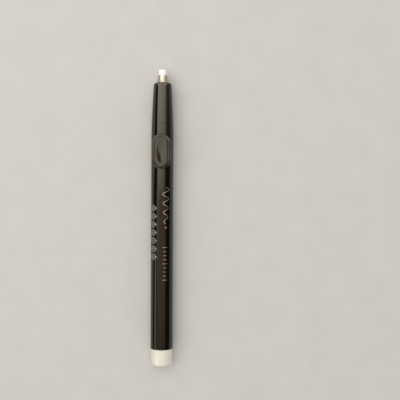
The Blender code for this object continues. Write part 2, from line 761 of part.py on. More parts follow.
def make_rotor():
    """Shaft, three-pole core, one coil a pole and the commutator."""
    bottom, top = MOTOR_BACK - 0.0013, 0.1514
    shaft = [(0, top), (SHAFT_RADIUS - 0.0001, top), (SHAFT_RADIUS, top - 0.0001)]
    shaft += [(SHAFT_RADIUS, bottom), (0, bottom)]
    turned("motor_shaft", shaft, STEEL, SMALL_ROUND)

    neck, head, hub, reach = 0.0006, 0.0030, 0.0013, 48
    core = []
    for pole in range(POLES):
        turn = 360 / POLES * pole
        foot = math.degrees(math.asin(neck / hub))
        shoulder = math.degrees(math.asin(neck / head))
        core += arc(hub, turn - foot, turn - foot + 0.01, 1)[:1]
        core += arc(head, turn - shoulder, turn - reach, 2)
        core += arc(CORE_RADIUS, turn - reach, turn + reach, 8)
        core += arc(head, turn + reach, turn + shoulder, 2)
        core += arc(hub, turn + foot, turn + foot + 0.01, 1)[:1]
    plate("rotor_core", [core, circle(SHAFT_BORE, 16)], CORE_LENGTH, STEEL, (0, 0, CORE_MIDDLE))

    def frame(width, length):
        x, y, c = width / 2, length / 2, width / 5
        return [
            (x, c - y),
            (x, y - c),
            (x - c, y),
            (c - x, y),
            (-x, y - c),
            (-x, c - y),
            (c - x, -y),
            (x - c, -y),
        ]

    low, high = 0.00145, 0.0024
    loops = [frame(0.0025, CORE_LENGTH + 0.0015), frame(0.0014, CORE_LENGTH + 0.0003)]
    for pole in range(POLES):
        turn = math.radians(360 / POLES * pole)
        middle = (low + high) / 2
        place = (middle * math.cos(turn), middle * math.sin(turn), CORE_MIDDLE)
        facing = (math.radians(90), 0, turn + math.radians(90))
        plate(f"rotor_coil_{pole + 1}", loops, high - low, COPPER, place, facing)

    segments = []
    radius, root, slit = 0.00135, 0.0011, 8
    for k in range(POLES):
        turn = 360 / POLES * k
        segments += arc(radius, turn + slit, turn + 120 - slit, 6)
        segments += arc(root, turn + 120 - slit, turn + 120 + slit, 1)
    commutator_middle = BRUSH_BAR + 0.0017
    plate("commutator", [segments, circle(SHAFT_BORE, 16)], 0.0022, BRASS, (0, 0, commutator_middle))


# ---- Chuck and eraser --------------------------------------------------------------------------


def make_chuck():
    hub_front, shoulder = LENGTH - REFILL_LENGTH - GAP, CHUCK_BACK - 0.00005
    bottom = BOSS_TOP + 0.0002
    bore_end = 0.1516
    profile = [
        (0, hub_front),
        (CHUCK_BORE - 0.0002, hub_front),
        (CHUCK_BORE - 0.00003, hub_front - 0.0002),
        (CHUCK_BORE - 0.00003, shoulder),
        (CHUCK_RADIUS, shoulder),
        (CHUCK_RADIUS, shoulder - 0.0006),
        (0.0018, shoulder - 0.0006),
        (0.0018, bottom),
        (SHAFT_BORE, bottom),
        (SHAFT_BORE, bore_end),
        (0, bore_end),
    ]
    turned("chuck_hub", profile, BRASS, SMALL_ROUND)

    tube = [
        (CHUCK_BORE, CHUCK_MOUTH - 0.0001),
        (CHUCK_BORE + 0.0001, CHUCK_MOUTH),
        (CHUCK_RADIUS - 0.00005, CHUCK_MOUTH),
        (CHUCK_RADIUS, CHUCK_MOUTH - 0.0001),
        (CHUCK_RADIUS, CHUCK_BACK),
        (CHUCK_BORE, CHUCK_BACK),
    ]
    chuck = turned("chuck_tube", tube, NICKEL_PLATE, sides=32)
    slit = box(
        "chuck_slit_cutter", (-0.0040, -0.0002, CHUCK_MOUTH - 0.0090), (0.0040, 0.0002, CHUCK_MOUTH + 0.001)
    )
    slit.rotation_euler = (0, 0, SLIT_TURN)
    cut(chuck, slit)


def make_eraser():
    top, bottom = LENGTH, LENGTH - REFILL_LENGTH
    profile = [
        (0, top),
        (REFILL_RADIUS - 0.0003, top),
        (REFILL_RADIUS - 0.00005, top - 0.00025),
        (REFILL_RADIUS, top - 0.0005),
        (REFILL_RADIUS, bottom + 0.0001),
        (REFILL_RADIUS - 0.0001, bottom),
        (0, bottom),
    ]
    return turned("eraser", profile, VINYL, sides=32)


make_barrel()
make_nose_cone()
make_nose_bush()
make_bezel()
make_button()
make_switch_carrier()
make_contacts()
make_cells()
make_leads()
make_tail_cap()
make_spring_seat()
make_tail_spring()
make_motor_shell()
make_motor_end()
make_bushes()
make_magnets()
make_rotor()
make_chuck()
make_eraser()
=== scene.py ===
import json
import math

import bmesh
import bpy
from mathutils import Matrix, Vector


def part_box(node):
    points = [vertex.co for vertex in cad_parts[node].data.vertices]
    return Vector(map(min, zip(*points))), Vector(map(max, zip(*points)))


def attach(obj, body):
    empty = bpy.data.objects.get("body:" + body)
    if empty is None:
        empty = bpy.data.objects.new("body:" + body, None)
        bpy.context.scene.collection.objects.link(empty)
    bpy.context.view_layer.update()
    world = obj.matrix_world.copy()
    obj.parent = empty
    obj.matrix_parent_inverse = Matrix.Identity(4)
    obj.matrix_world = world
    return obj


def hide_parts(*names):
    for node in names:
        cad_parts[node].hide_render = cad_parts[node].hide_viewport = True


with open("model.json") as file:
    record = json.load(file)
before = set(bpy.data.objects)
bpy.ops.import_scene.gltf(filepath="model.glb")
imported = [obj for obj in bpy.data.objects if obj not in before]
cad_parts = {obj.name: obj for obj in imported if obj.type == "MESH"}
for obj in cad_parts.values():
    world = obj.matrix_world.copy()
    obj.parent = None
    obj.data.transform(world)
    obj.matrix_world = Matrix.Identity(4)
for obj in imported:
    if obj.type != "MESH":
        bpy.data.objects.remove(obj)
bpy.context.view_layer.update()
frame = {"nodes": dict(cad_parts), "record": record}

# ---- Driving sizes, in metres -------------------------------------------------------------------
#
# Heights run along the pen from the tail face, radii from its axis, and angles round the axis from
# straight up towards +X. What the CAD boxes give is read from them.

MM = 0.001
TINY = 1e-7  # lengths below this count as nothing
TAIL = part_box("tail_cap")[0].y


def span(node):
    """Heights of a CAD node's back and front."""
    low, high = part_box(node)
    return low.y - TAIL, high.y - TAIL


def half_width(node):
    low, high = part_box(node)
    return (high.x - low.x) / 2


def middle(node, axis):
    """The middle of a CAD node's box along "x", "y" or "z"."""
    low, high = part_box(node)
    return (getattr(low, axis) + getattr(high, axis)) / 2


AXIS = middle("eraser", "z")  # height of the pen's axis over the floor
BUTTON_Y = middle("switch_button", "y")
BODY_RADIUS = half_width("barrel")
BARREL_BACK = span("barrel")[0]
SPIGOT_END, NOSE_FACE = span("nose_cone")
SEAM = 143.7 * MM  # between barrel and nose cone
TAPER_START = 137.2 * MM
TAPER_POWER = 1.35
NOSE_RADIUS = 5.3 * MM
NOSE_RIM = NOSE_FACE - 1.0 * MM

GAP = 0.15 * MM  # between parts that are pushed together
MOTOR_BORE = 5.2 * MM
SOCKET_BORE = 5.85 * MM  # takes the nose cone's spigot
CELL_BORE = 5.45 * MM
CELL_BORE_FRONT = 112.15 * MM
TAIL_BORE = 5.5 * MM  # takes the cap's spigot
TAIL_BORE_FRONT = 19.0 * MM
CAP_SPIGOT = 5.3 * MM
PITCH = 2.0 * MM  # of the cap's thread
THREAD_START = 11.8 * MM
THREAD_END = THREAD_START + 2.5 * PITCH

BUSH_RADIUS, BUSH_COLLAR = 3.90 * MM, 3.10 * MM
BUSH_SHOULDER = 167.15 * MM
BUSH_PLAY = 0.05 * MM
SLIT_ANGLE = math.radians(48.5)  # of the slit in the chuck

HOLE = (8.0 * MM, 18.6 * MM)  # width and length of the oval hole that the button sits in
PAD_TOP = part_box("switch_button")[1].z

SIDES = 96  # of a turned piece
FILLET_STEPS = 5
OVAL_ARC_STEPS, OVAL_SIDE_STEPS = 20, 24
SHARP = math.radians(38)  # edges sharper than this are shaded sharp


# ---- Mesh tools ---------------------------------------------------------------------------------


def body_radius(height):
    """Outer radius of barrel and nose cone, which narrow in one curve."""
    share = max(0, (height - TAPER_START) / (NOSE_RIM - TAPER_START))
    return BODY_RADIUS - (BODY_RADIUS - NOSE_RADIUS) * share**TAPER_POWER


def polar(radius, height, angle):
    """A point round the pen's axis. The angle runs from straight up towards +X."""
    return Vector((radius * math.sin(angle), TAIL + height, AXIS + radius * math.cos(angle)))


def add(name, bm, smooth=True):
    """Makes an object of a mesh and links it to the scene."""
    bmesh.ops.recalc_face_normals(bm, faces=bm.faces)
    mesh = bpy.data.meshes.new(name)
    bm.to_mesh(mesh)
    bm.free()
    obj = bpy.data.objects.new(name, mesh)
    bpy.context.scene.collection.objects.link(obj)
    if smooth:
        mesh.shade_smooth()
        mesh.set_sharp_from_angle(angle=SHARP)
    return obj


def quarter(steps):
    """Angles over a quarter turn, ends included."""
    return [math.pi / 2 * k / steps for k in range(steps + 1)]


def mix(a, b, share):
    return a * (1 - share) + b * share


def rounded(corners, closed=True):
    """Turns (radius, height, fillet) corners into points, with an arc at each fillet.

    A point just outside each end of an arc keeps the shading of the stretch beyond it flat.
    """
    most, hold = 0.45, 1.12  # of an edge's length that an arc may take, and of an arc's reach
    points = []
    for i, corner in enumerate(corners):
        p, fillet = Vector(corner[:2]), corner[2] if len(corner) > 2 else 0
        inner = closed or 0 < i < len(corners) - 1
        if not (fillet and inner):
            points.append(p)
            continue
        before = Vector(corners[i - 1][:2]) - p
        after = Vector(corners[(i + 1) % len(corners)][:2]) - p
        half = before.angle(after) / 2
        reach = min(fillet / math.tan(half), most * before.length, most * after.length)
        before.normalize()
        after.normalize()
        centre = p + (before + after).normalized() * reach / math.cos(half)
        start, end = p + before * reach - centre, p + after * reach - centre
        turn = start.angle_signed(end) if start.length else 0
        points.append(p + before * reach * hold)
        for k in range(FILLET_STEPS + 1):
            a = -turn * k / FILLET_STEPS
            x = start.x * math.cos(a) - start.y * math.sin(a)
            y = start.x * math.sin(a) + start.y * math.cos(a)
            points.append(centre + Vector((x, y)))
        points.append(p + after * reach * hold)
    return [(max(0, q.x), q.y) for q in points]


def between(start, end, steps):
    """Points that divide a straight stretch, without its ends."""
    return [tuple(Vector(start).lerp(Vector(end), k / steps)) for k in range(1, steps)]


def divided(outline, inner, closed=True):
    """Adds the points that inner(a, b) gives between an outline's neighbours a and b."""
    ends = outline[1:] + outline[:1] if closed else outline[1:]
    points = []
    for a, b in zip(outline, ends):
        points += [a, *inner(a, b)]
    return points if closed else points + outline[-1:]


def along(a, b, radius):
    """Whether a stretch of an outline runs along the pen at this radius."""
    return abs(a[0] - radius) < TINY and abs(b[0] - radius) < TINY


def lathe(name, points, relief=None, closed=True):
    """Turns (radius, height) points round the pen's axis.

    relief(radius, height, angle) gives a point's new radius. An outline that isn't closed starts
    and ends on the axis.
    """
    bm = bmesh.new()
    rings = []
    for radius, height in points:
        if radius < TINY:
            rings.append([bm.verts.new(polar(0, height, 0))])
            continue
        ring = []
        for k in range(SIDES):
            angle = 2 * math.pi * k / SIDES
            r = relief(radius, height, angle) if relief else radius
            ring.append(bm.verts.new(polar(r, height, angle)))
        rings.append(ring)
    pairs = list(zip(rings, rings[1:])) + ([(rings[-1], rings[0])] if closed else [])
    for a, b in pairs:
        for k in range(SIDES):
            j = (k + 1) % SIDES
            corners = [a[k % len(a)], a[j % len(a)], b[j % len(b)], b[k % len(b)]]
            corners = list(dict.fromkeys(corners))
            if len(corners) > 2:
                bm.faces.new(corners)
    return add(name, bm)


def stadium(width, length, inset=0.0):
    """An oval of straight sides and round ends, as (x, y) points in the same order for every size."""
    r, straight = width / 2 - inset, (length - width) / 2
    points = []
    for end, first in ((1, 0), (-1, math.pi)):
        for k in range(OVAL_ARC_STEPS):
            a = first + math.pi * k / OVAL_ARC_STEPS
            points.append((r * math.cos(a), end * straight + r * math.sin(a)))
        for k in range(OVAL_SIDE_STEPS):
            points.append((-end * r, end * straight * (1 - 2 * k / OVAL_SIDE_STEPS)))
    return points


def loft(name, rings, closed=True, cap=False):
    """Joins rings of points that run the same way round."""
    bm = bmesh.new()
    made = [[bm.verts.new(p) for p in ring] for ring in rings]
    pairs = list(zip(made, made[1:])) + ([(made[-1], made[0])] if closed else [])
    for a, b in pairs:
        for k in range(len(a)):
            j = (k + 1) % len(a)
            bm.faces.new((a[k], a[j], b[j], b[k]))
    if cap:
        bm.faces.new(made[0])
        bm.faces.new(made[-1])
    return add(name, bm)


def cut(obj, tool):
    """Takes tool away from obj and removes it."""
    modifier = obj.modifiers.new("cut", "BOOLEAN")
    modifier.operation = "DIFFERENCE"
    modifier.solver = "EXACT"
    modifier.object = tool
    bpy.context.view_layer.update()
    mesh = bpy.data.meshes.new_from_object(obj.evaluated_get(bpy.context.evaluated_depsgraph_get()))
    obj.modifiers.clear()
    obj.data = mesh
    obj.data.name = obj.name
    bpy.data.objects.remove(tool)


def place(obj, body, slot, material, *nodes):
    """Gives a finished piece its material and body, and hides the CAD nodes that it stands for. slot is not
    used.
    """
    obj.data.materials.clear()
    obj.data.materials.append(material)
    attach(obj, body)
    if nodes:
        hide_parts(*nodes)


# ---- Material tools -----------------------------------------------------------------------------


def add_node(tree, kind, *inputs, **settings):
    """Adds a shader node. inputs are pairs of a socket and its value or the socket that feeds it."""
    made = tree.nodes.new(kind)
    for key, value in settings.items():
        setattr(made, key, value)
    for key, value in inputs:
        if isinstance(value, bpy.types.NodeSocket):
            tree.links.new(value, made.inputs[key])
        else:
            made.inputs[key].default_value = value
    return made


class Recipe:
    """A Principled material whose textures are all set in the object's own metres.

    A texture's size is given as repeats per metre, along each axis or the same along all three.
    """

    def __init__(self, name, colour, metallic=0.0, roughness=0.5, **sockets):
        self.material = bpy.data.materials.new(name)
        self.material.use_nodes = True
        self.tree = self.material.node_tree
        self.shader = self.tree.nodes["Principled BSDF"]
        self.shader.inputs["Base Color"].default_value = (*colour, 1)
        self.shader.inputs["Metallic"].default_value = metallic
        self.shader.inputs["Roughness"].default_value = roughness
        for socket, value in sockets.items():
            self.shader.inputs[socket.replace("_", " ")].default_value = value
        self.coordinates = self.tree.nodes.new("ShaderNodeTexCoord").outputs["Object"]
        self.normal = None

    def node(self, kind, *inputs, **settings):
        return add_node(self.tree, kind, *inputs, **settings)

    def noise(self, repeats, detail=3.0, roughness=0.55, shift=(0, 0, 0)):
        repeats = repeats if isinstance(repeats, tuple) else (repeats,) * 3
        inputs = ("Vector", self.coordinates), ("Scale", repeats), ("Location", shift)
        vector = self.node("ShaderNodeMapping", *inputs).outputs[0]
        inputs = ("Vector", vector), ("Scale", 1.0), ("Detail", detail), ("Roughness", roughness)
        return self.node("ShaderNodeTexNoise", *inputs).outputs[0]

    def fit(self, value, low, high, to_low=0.0, to_high=1.0):
        """Carries the range from low to high over to another, and holds it there."""
        source = ("Value", value), ("From Min", low), ("From Max", high)
        target = ("To Min", to_low), ("To Max", to_high)
        return self.node("ShaderNodeMapRange", *source, *target, clamp=True).outputs[0]

    def math(self, operation, a, b):
        """Works out one sum, product or the like of two values."""
        return self.node("ShaderNodeMath", (0, a), (1, b), operation=operation).outputs[0]

    def blend(self, factor, a, b):
        """Mixes two colours."""
        a, b = (c if isinstance(c, bpy.types.NodeSocket) else (*c, 1) for c in (a, b))
        inputs = ("Factor", factor), (6, a), (7, b)  # 6 and 7 are the node's two colour sockets
        return self.node("ShaderNodeMix", *inputs, data_type="RGBA").outputs[2]

    def colour(self, socket):
        self.tree.links.new(socket, self.shader.inputs["Base Color"])

    def rough(self, socket):
        self.tree.links.new(socket, self.shader.inputs["Roughness"])

    def bump(self, height, distance):
        """Raises the surface by up to distance metres; several stack."""
        inputs = [("Height", height), ("Distance", distance)]
        if self.normal:
            inputs.append(("Normal", self.normal))
        self.normal = self.node("ShaderNodeBump", *inputs).outputs[0]
        self.tree.links.new(self.normal, self.shader.inputs["Normal"])


def gloss_plastic(name, colour, sheen, low, high):
    """Polished moulded plastic: soft waviness, fine handling marks and a film of dust and fingerprints."""
    m = Recipe(name, colour, roughness=low, IOR=1.5, Specular_Tint=(1.0, 0.94, 0.81, 1))
    smudge = m.noise((160, 60, 160), 4, 0.6)
    film = m.noise((700, 420, 700), 3, 0.6, (3, 1, 2))
    rub = m.noise((9000, 260, 9000), 2, 0.7, (1, 7, 4))
    mark = m.math("MULTIPLY", m.fit(smudge, 0.42, 0.7), m.fit(film, 0.35, 0.7))
    m.rough(m.math("ADD", m.fit(mark, 0, 1, low, high), m.fit(rub, 0.55, 0.8, 0, 0.035)))
    tone = m.blend(m.fit(m.noise((90, 40, 90), 3), 0.35, 0.65), colour, sheen)
    speck = m.fit(m.noise(2600, 1, 0.5, (5, 5, 5)), 0.74, 0.80)
    m.colour(m.blend(speck, tone, tuple(min(1, c * 2.2 + 0.01) for c in sheen)))
    m.bump(m.noise(420, 2), 0.000008)
    m.bump(m.noise(5200, 2), 0.0000012)
    return m.material


def satin_plastic(name, colour, shade, low, high, grain=2600, **sockets):
    """Plain moulded plastic with a fine spark-eroded grain."""
    m = Recipe(name, colour, roughness=high, **sockets)
    cloud = m.noise((140, 90, 140), 4, 0.6)
    fleck = m.noise(1500, 2, 0.5, (2, 3, 1))
    tone = m.fit(m.math("ADD", cloud, m.fit(fleck, 0, 1, -0.1, 0.1)), 0.35, 0.7)
    m.colour(m.blend(tone, colour, shade))
    m.rough(m.fit(m.noise((500, 300, 500), 3, 0.6, (1, 1, 5)), 0.3, 0.7, low, high))
    m.bump(m.noise(grain, 2), 0.000006)
    m.bump(m.noise(300, 2, 0.5, (4, 4, 4)), 0.00001)
    return m.material


def vinyl():
    """Soft white eraser vinyl: chalky, with fine pores and a trace of handling dust."""
    m = Recipe("eraser_vinyl", (0.9, 0.89, 0.86), roughness=0.6, **GLOW)
    cloud = m.fit(m.noise((350, 200, 350), 4, 0.6), 0.35, 0.7)
    tone = m.blend(cloud, (0.93, 0.92, 0.89), (0.87, 0.86, 0.82))
    speck = m.fit(m.noise(2400, 2, 0.6, (7, 2, 2)), 0.68, 0.78, 0, 0.5)
    m.colour(m.blend(speck, tone, (0.62, 0.61, 0.58)))
    m.rough(m.fit(cloud, 0, 1, 0.5, 0.72))
    m.bump(m.noise(1700, 4, 0.65), 0.00002)
    m.bump(m.noise((6000, 900, 6000), 2), 0.000006)
    return m.material


def turned_metal(name, colour, shade, low, high, lines=26000, depth=0.0000016, **sockets):
    """Metal turned or drawn about the pen's axis: fine rings, slight tarnish."""
    m = Recipe(name, colour, metallic=1.0, roughness=low, **sockets)
    rings = m.noise((500, lines, 500), 3, 0.6)
    tarnish = m.noise((600, 350, 600), 4, 0.6, (3, 3, 3))
    m.colour(m.blend(m.fit(tarnish, 0.4, 0.72), colour, shade))
    m.rough(m.math("ADD", m.fit(tarnish, 0.3, 0.75, low, high), m.fit(rings, 0.45, 0.75, 0, 0.06)))
    m.bump(rings, depth)
    return m.material


# ---- Body pieces --------------------------------------------------------------------------------


def thread(root, crest, root_half, crest_half, low, high):
    """Relief of a right-hand thread on a wall at radius root, between the heights low and high.

    It reaches out to crest, and goes root_half to either side at the wall and crest_half at the crest.
    """
    near, run_out = 0.02 * MM, 0.12 * PITCH

    def relief(radius, height, angle):
        if abs(radius - root) > near or not low - PITCH < height < high + PITCH:
            return radius
        turns = (height - THREAD_START) / PITCH - (angle - math.pi / 2) / (2 * math.pi)
        off = ((turns + 0.5) % 1 - 0.5) * PITCH
        middle_height = height - off
        fade = min(1, max(0, min(middle_height - low, high - middle_height) / run_out))
        share = min(1, max(0, (root_half - abs(off)) / (root_half - crest_half)))
        return radius + (crest - radius) * fade * share

    return relief


def make_barrel(material):
    """The tube: bored in steps, with the thread's groove at the back and the button's window on top."""
    front, socket = SEAM - 0.06 * MM, SPIGOT_END - GAP
    corners = [
        (SOCKET_BORE, front, 0.05 * MM),
        (body_radius(SEAM), front, 0.06 * MM),
        (BODY_RADIUS, TAPER_START),
        (BODY_RADIUS, BARREL_BACK, 0.6 * MM),
        (TAIL_BORE, BARREL_BACK, 0.15 * MM),
        (TAIL_BORE, TAIL_BORE_FRONT),
        (CELL_BORE, TAIL_BORE_FRONT),
        (CELL_BORE, CELL_BORE_FRONT),
        (MOTOR_BORE, CELL_BORE_FRONT, 0.1 * MM),
        (MOTOR_BORE, socket, 0.1 * MM),
        (SOCKET_BORE, socket),
    ]

    def inner(a, b):
        """Divides the outside wall, the taper and the wall with the groove."""
        if abs(b[1] - a[1]) < 3 * MM:
            return []
        if along(a, b, BODY_RADIUS):
            return between(a, b, 120)
        if along(a, b, TAIL_BORE):
            return between(a, b, 90)
        if a[0] > SOCKET_BORE:
            return [(body_radius(height), height) for _, height in between(a, b, 10)]
        return []

    groove = thread(
        root=TAIL_BORE,
        crest=5.95 * MM,
        root_half=0.62 * MM,
        crest_half=0.42 * MM,
        low=BARREL_BACK - 1.2 * MM,
        high=THREAD_END + 0.4 * MM,
    )
    barrel = lathe("barrel_shell", divided(rounded(corners), inner), groove)
    oval = stadium(*HOLE, -0.55 * MM)
    rings = [[(x, y + BUTTON_Y, z) for x, y in oval] for z in (AXIS, AXIS + 10 * MM)]
    cut(barrel, loft("window", rings, closed=False, cap=True))
    place(barrel, "housing", "housing", material, "barrel")


def make_nose(material):
    """The cone, with its spigot at the back and a pocket for the bush at the front."""
    spigot, bore = 5.75 * MM, 5.1 * MM
    mouth, pocket = BUSH_COLLAR + BUSH_PLAY, BUSH_RADIUS + BUSH_PLAY
    mount_seat, pocket_back, pocket_front = span("motor_mount")[1] + GAP, 163.7 * MM, BUSH_SHOULDER + GAP
    steps = 24
    corners = [
        (mouth, NOSE_FACE, 0.06 * MM),
        (mouth + 0.5 * MM, NOSE_FACE, 1.5 * MM),
        (NOSE_RADIUS - 0.7 * MM, NOSE_FACE - 0.5 * MM, 1.2 * MM),
        (NOSE_RADIUS - 0.2 * MM, NOSE_FACE - 0.7 * MM, 0.3 * MM),
    ]
    for k in range(steps):
        height = NOSE_RIM + (SEAM - NOSE_RIM) * k / steps
        corners.append((body_radius(height), height))
    corners += [
        (body_radius(SEAM), SEAM, 0.06 * MM),
        (spigot, SEAM),
        (spigot, SPIGOT_END, 0.25 * MM),
        (bore, SPIGOT_END),
        (bore, mount_seat),
        (4.5 * MM, mount_seat),
        (4.2 * MM, pocket_back - 0.6 * MM),
        (pocket, pocket_back),
        (pocket, pocket_front),
        (mouth, pocket_front),
    ]
    nose = lathe("nose_shell", rounded(corners))
    place(nose, "housing", "housing", material, "nose_cone")


def make_bush(material):
    """The plain bush that the chuck turns in. Its collar fills the nose's mouth."""
    inner = 2.72 * MM
    back, front = span("nose_bush")
    corners = [
        (inner, front, 0.08 * MM),
        (BUSH_COLLAR, front, 0.08 * MM),
        (BUSH_COLLAR, BUSH_SHOULDER),
        (BUSH_RADIUS, BUSH_SHOULDER, 0.05 * MM),
        (BUSH_RADIUS, back, 0.2 * MM),
        (inner, back, 0.1 * MM),
    ]
    place(lathe("nose_bush_ring", rounded(corners)), "housing", "nylon", material, "nose_bush")


def on_body(x, radius=BODY_RADIUS):
    """Height over the floor of a tube's upper side, at x from the pen's middle."""
    return AXIS + math.sqrt(max(0, radius**2 - x**2))


def make_bezel(material):
    """The raised oval frame. Its flange follows the barrel, and its wall lines the window."""
    low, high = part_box("button_bezel")
    top, outer = high.z, (high.x - low.x, high.y - low.y)
    crown, drop = 1.0 * MM, 0.45 * MM  # width and height of the rounding on top
    flare, lip, wall, sunk = 0.5 * MM, 0.08 * MM, 0.4 * MM, 0.04 * MM
    shoulder = top - drop

    def ring(size, inset, z):
        """One oval of the surface. z is its height, or a function of x that gives it."""
        return [(x, y + BUTTON_Y, z(x) if callable(z) else z) for x, y in stadium(*size, inset)]

    def flange(x):
        return on_body(x) - sunk

    def foot(x):
        """The wall's lower edge, inside the barrel."""
        return max(low.z, on_body(x, 5.3 * MM) + 0.02 * MM)

    rings = [ring(outer, -flare, flange)]
    for a in quarter(6):
        rise = flare * (1 - math.cos(a))
        rings.append(ring(outer, -flare * (1 - math.sin(a)), lambda x: on_body(x) + rise))
    for share in (0.25, 0.5, 0.75):
        rings.append(ring(outer, 0, lambda x: mix(on_body(x) + flare, shoulder, share)))
    for a in quarter(12):
        rings.append(ring(outer, crown * (1 - math.cos(a)), shoulder + drop * math.sin(a)))
    rings.append(ring(HOLE, -lip - 0.06 * MM, top))
    for a in quarter(4):
        rings.append(ring(HOLE, -lip * (1 - math.sin(a)), top - lip * (1 - math.cos(a))))
    for share in (0.3, 0.65, 1):
        rings.append(ring(HOLE, 0, lambda x: mix(top - lip, foot(x), share)))
    rings.append(ring(HOLE, -wall, foot))
    rings.append(ring(HOLE, -wall, flange))
    bezel = loft("button_frame", rings)
    place(bezel, "housing", "housing", material, "button_bezel")


def make_button(material):
    """The pad, with a rounded edge and a shallow dish."""
    under, clearance = AXIS + 5.9 * MM, 0.2 * MM
    edge, chamfer, dish = 0.2 * MM, 0.06 * MM, 0.23 * MM
    dish_half = (2.9 * MM, 7.6 * MM)
    shoulder, steps = PAD_TOP - edge, 22

    def ring(inset, z, hollow=False):
        """One oval of the surface, which sinks into the dish if hollow."""
        made = []
        for x, y in stadium(*HOLE, clearance + inset):
            away = (x / dish_half[0]) ** 2 + (y / dish_half[1]) ** 2
            drop = dish * (1 - away) ** 1.5 if hollow and away < 1 else 0
            made.append((x, y + BUTTON_Y, z - drop))
        return made

    rings = [ring(0.3 * MM, under), ring(chamfer, under), ring(0, under + chamfer)]
    rings += [ring(0, under + (shoulder - under) * k / 3) for k in (1, 2)]
    for a in quarter(8):
        rings.append(ring(edge * (1 - math.cos(a)), shoulder + edge * math.sin(a)))
    last = HOLE[0] / 2 - clearance - 0.02 * MM
    rings += [ring(edge + (last - edge) * k / steps, PAD_TOP, True) for k in range(1, steps + 1)]
    button = loft("button_pad", rings, closed=False, cap=True)
    place(button, "button", "button", material, "switch_button")


def make_cap(material):
    """The screw cap: a rounded end with a shallow moulded ring, and a threaded spigot."""
    front, shoulder = span("tail_cap")[1], BARREL_BACK - GAP
    side, wall, corner = 6.3 * MM, 6.35 * MM, 1.9 * MM  # the wall widens towards the barrel
    bore, seat_bore = 4.6 * MM, 3.6 * MM
    floor, seat = 1.8 * MM, 9.0 * MM
    corners = [
        (bore, front, 0.1 * MM),
        (CAP_SPIGOT, front, 0.3 * MM),
        (CAP_SPIGOT, shoulder),
        (wall, shoulder, 0.2 * MM),
        (wall, 5.0 * MM),
    ]
    for a in quarter(10):
        corners.append((side - corner * (1 - math.cos(a)), corner * (1 - math.sin(a))))
    corners += [
        (4.2 * MM, 0, 0.1 * MM),
        (4.0 * MM, 0.12 * MM, 0.3 * MM),
        (0.9 * MM, 0.16 * MM, 0.1 * MM),
        (0.8 * MM, 0.05 * MM, 0.05 * MM),
        (0, 0.05 * MM),
        (0, floor),
        (seat_bore, floor, 0.3 * MM),
        (seat_bore, seat, 0.1 * MM),
        (bore, seat),
    ]

    def inner(a, b):
        """Divides the wall that carries the thread."""
        return between(a, b, 90) if along(a, b, CAP_SPIGOT) and abs(b[1] - a[1]) > 1 * MM else []

    ridge = thread(
        root=CAP_SPIGOT,
        crest=5.78 * MM,
        root_half=0.435 * MM,
        crest_half=0.25 * MM,
        low=THREAD_START,
        high=THREAD_END,
    )
    cap = lathe("screw_cap", divided(rounded(corners), inner), ridge)
    place(cap, "cap", "cap", material, "tail_cap")


def make_chuck(material):
    """The thin sleeve that grips the rod, slit from its mouth so that it can spring."""
    inner_radius, outer_radius = 2.43 * MM, 2.65 * MM
    back, mouth = span("chuck_tube")
    slit_width, slit_depth, overshoot = 0.4 * MM, 9 * MM, 1 * MM
    corners = [
        (inner_radius, mouth, 0.07 * MM),
        (outer_radius, mouth, 0.07 * MM),
        (outer_radius, back),
        (inner_radius, back),
    ]

    def inner(a, b):
        """Divides the two walls."""
        return between(a, b, 30) if abs(a[1] - b[1]) > 5 * MM else []

    chuck = lathe("chuck_sleeve", divided(rounded(corners), inner))
    bm = bmesh.new()
    size = Matrix.Diagonal((slit_width, slit_depth + overshoot, 12 * MM, 1))
    middle_y = TAIL + mouth - (slit_depth - overshoot) / 2
    turned = Matrix.Translation((0, middle_y, AXIS)) @ Matrix.Rotation(SLIT_ANGLE, 4, "Y")
    bmesh.ops.create_cube(bm, size=1, matrix=turned @ size)
    cut(chuck, add("slit", bm, smooth=False))
    place(chuck, "spindle", "chuck", material, "chuck_tube")


def make_eraser(material):
    """The white rod, cut a little unevenly."""
    radius, depth = 2.4 * MM, 0.006 * MM
    back, tip = span("eraser")
    corners = [(0, tip), (radius, tip, 0.35 * MM), (radius, back, 0.1 * MM), (0, back)]

    def inner(a, b):
        """Divides the side and the two end faces."""
        if abs(a[1] - b[1]) > 2 * MM:
            return between(a, b, 60)
        return between(a, b, 8) if a[1] == b[1] and abs(a[0] - b[0]) > 1 * MM else []

    def uneven(r, h, a):
        """Three and seven waves round the rod, which wind along it."""
        wobble = math.sin(3 * a + 800 * h) + 0.6 * math.sin(7 * a - 2100 * h + 1)
        return r - depth * (1.6 + wobble)

    points = divided(rounded(corners, closed=False), inner, closed=False)
    rod = lathe("eraser_rod", points, uneven, closed=False)
    place(rod, "refill", "eraser", material, "eraser")


# ---- Inner pieces -------------------------------------------------------------------------------


def upright(x, up, height):
    """A point at x, up from the pen's axis."""
    return Vector((x, TAIL + height, AXIS + up))


def make_plunger(material):
    """The rod under the pad that presses on the leaf, with a rounded foot."""
    foot, root, height, sides = 3.45 * MM, 6.0 * MM, 121.6 * MM, 32
    profile = ((0, 0.3), (0.02, 0.5), (0.06, 0.63), (0.15, 0.7), (0.5, 0.78), (0.92, 0.88), (1, 1.0))
    rings = []
    for share, radius in profile:
        ring = []
        for k in range(sides):
            a = 2 * math.pi * k / sides
            aside, ahead = radius * MM * math.cos(a), radius * MM * math.sin(a)
            ring.append(upright(aside, foot + (root - foot) * share, height + ahead))
        rings.append(ring)
    plunger = loft("button_plunger", rings, closed=False, cap=True)
    place(plunger, "button", "button", material)


